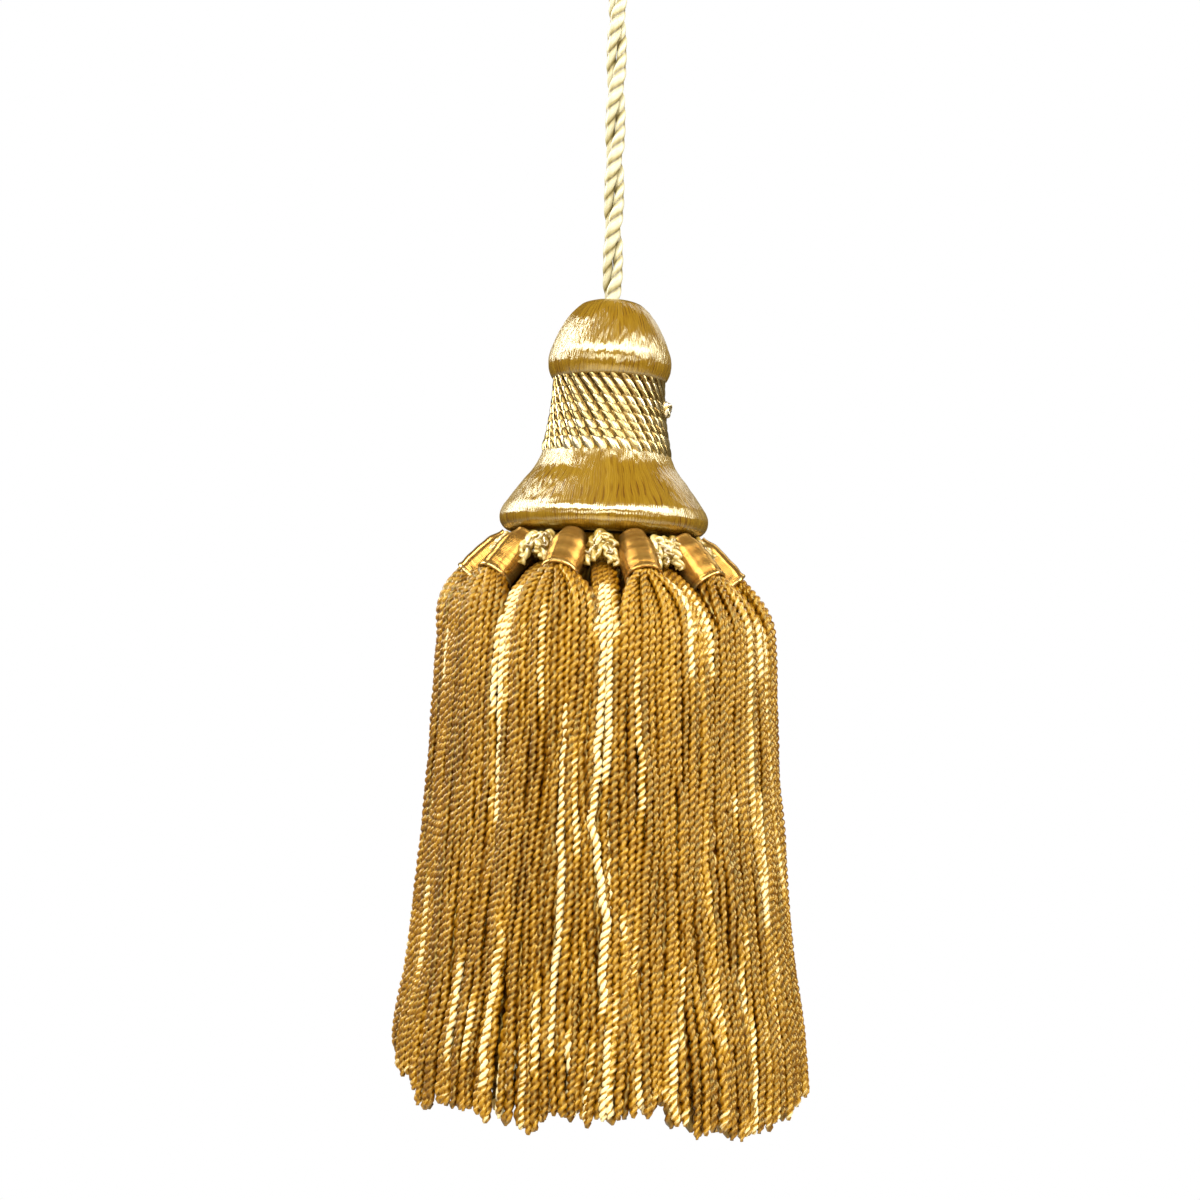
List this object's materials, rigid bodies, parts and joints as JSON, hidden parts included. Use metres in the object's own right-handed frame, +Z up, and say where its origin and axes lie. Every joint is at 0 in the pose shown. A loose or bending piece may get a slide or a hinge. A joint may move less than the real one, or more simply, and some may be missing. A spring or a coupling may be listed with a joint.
{
  "type": "silk tassel",
  "caption": "Hanging silk tassel: floss-covered head with a corded neck, ring of wrapped collars, full skirt of twisted yarn strands and a twisted cord loop.",
  "frame": {"origin": "where a hook bears: the middle of the inside of the hanging loop's top", "axes": "+Z up along the hanging cord, the front faces -Y, +X to the right of the front"},
  "size_m": [0.0742, 0.0744, 0.2258],
  "materials": {
    "gold_floss": "parallel silk floss laid side by side, high satin sheen along the threads",
    "gold_cord": "tightly twisted two-ply silk cord, glossy plies with dark grooves",
    "gold_yarn": "softly twisted two-ply silk yarn, lustrous, deep gold with paler strands",
    "pale_cord": "pale cream-gold two-ply silk cord, glossy, with olive shadow in the grooves"
  },
  "bodies": {
    "root": {"head": "gold_floss", "neck_wrap": "gold_cord", "wrap_knot": "gold_cord", "collar_01": "gold_floss", "collar_02": "gold_floss", "collar_03": "gold_floss", "collar_04": "gold_floss", "collar_05": "gold_floss", "collar_06": "gold_floss", "collar_07": "gold_floss", "collar_08": "gold_floss", "collar_09": "gold_floss", "collar_10": "gold_floss", "ruff_01": "gold_cord", "ruff_02": "gold_cord", "ruff_03": "gold_cord", "ruff_04": "gold_cord", "ruff_05": "gold_cord", "ruff_06": "gold_cord", "ruff_07": "gold_cord", "ruff_08": "gold_cord", "ruff_09": "gold_cord", "ruff_10": "gold_cord", "fringe": "gold_yarn", "hanging_cord": "pale_cord"}
  },
  "joints": []
}
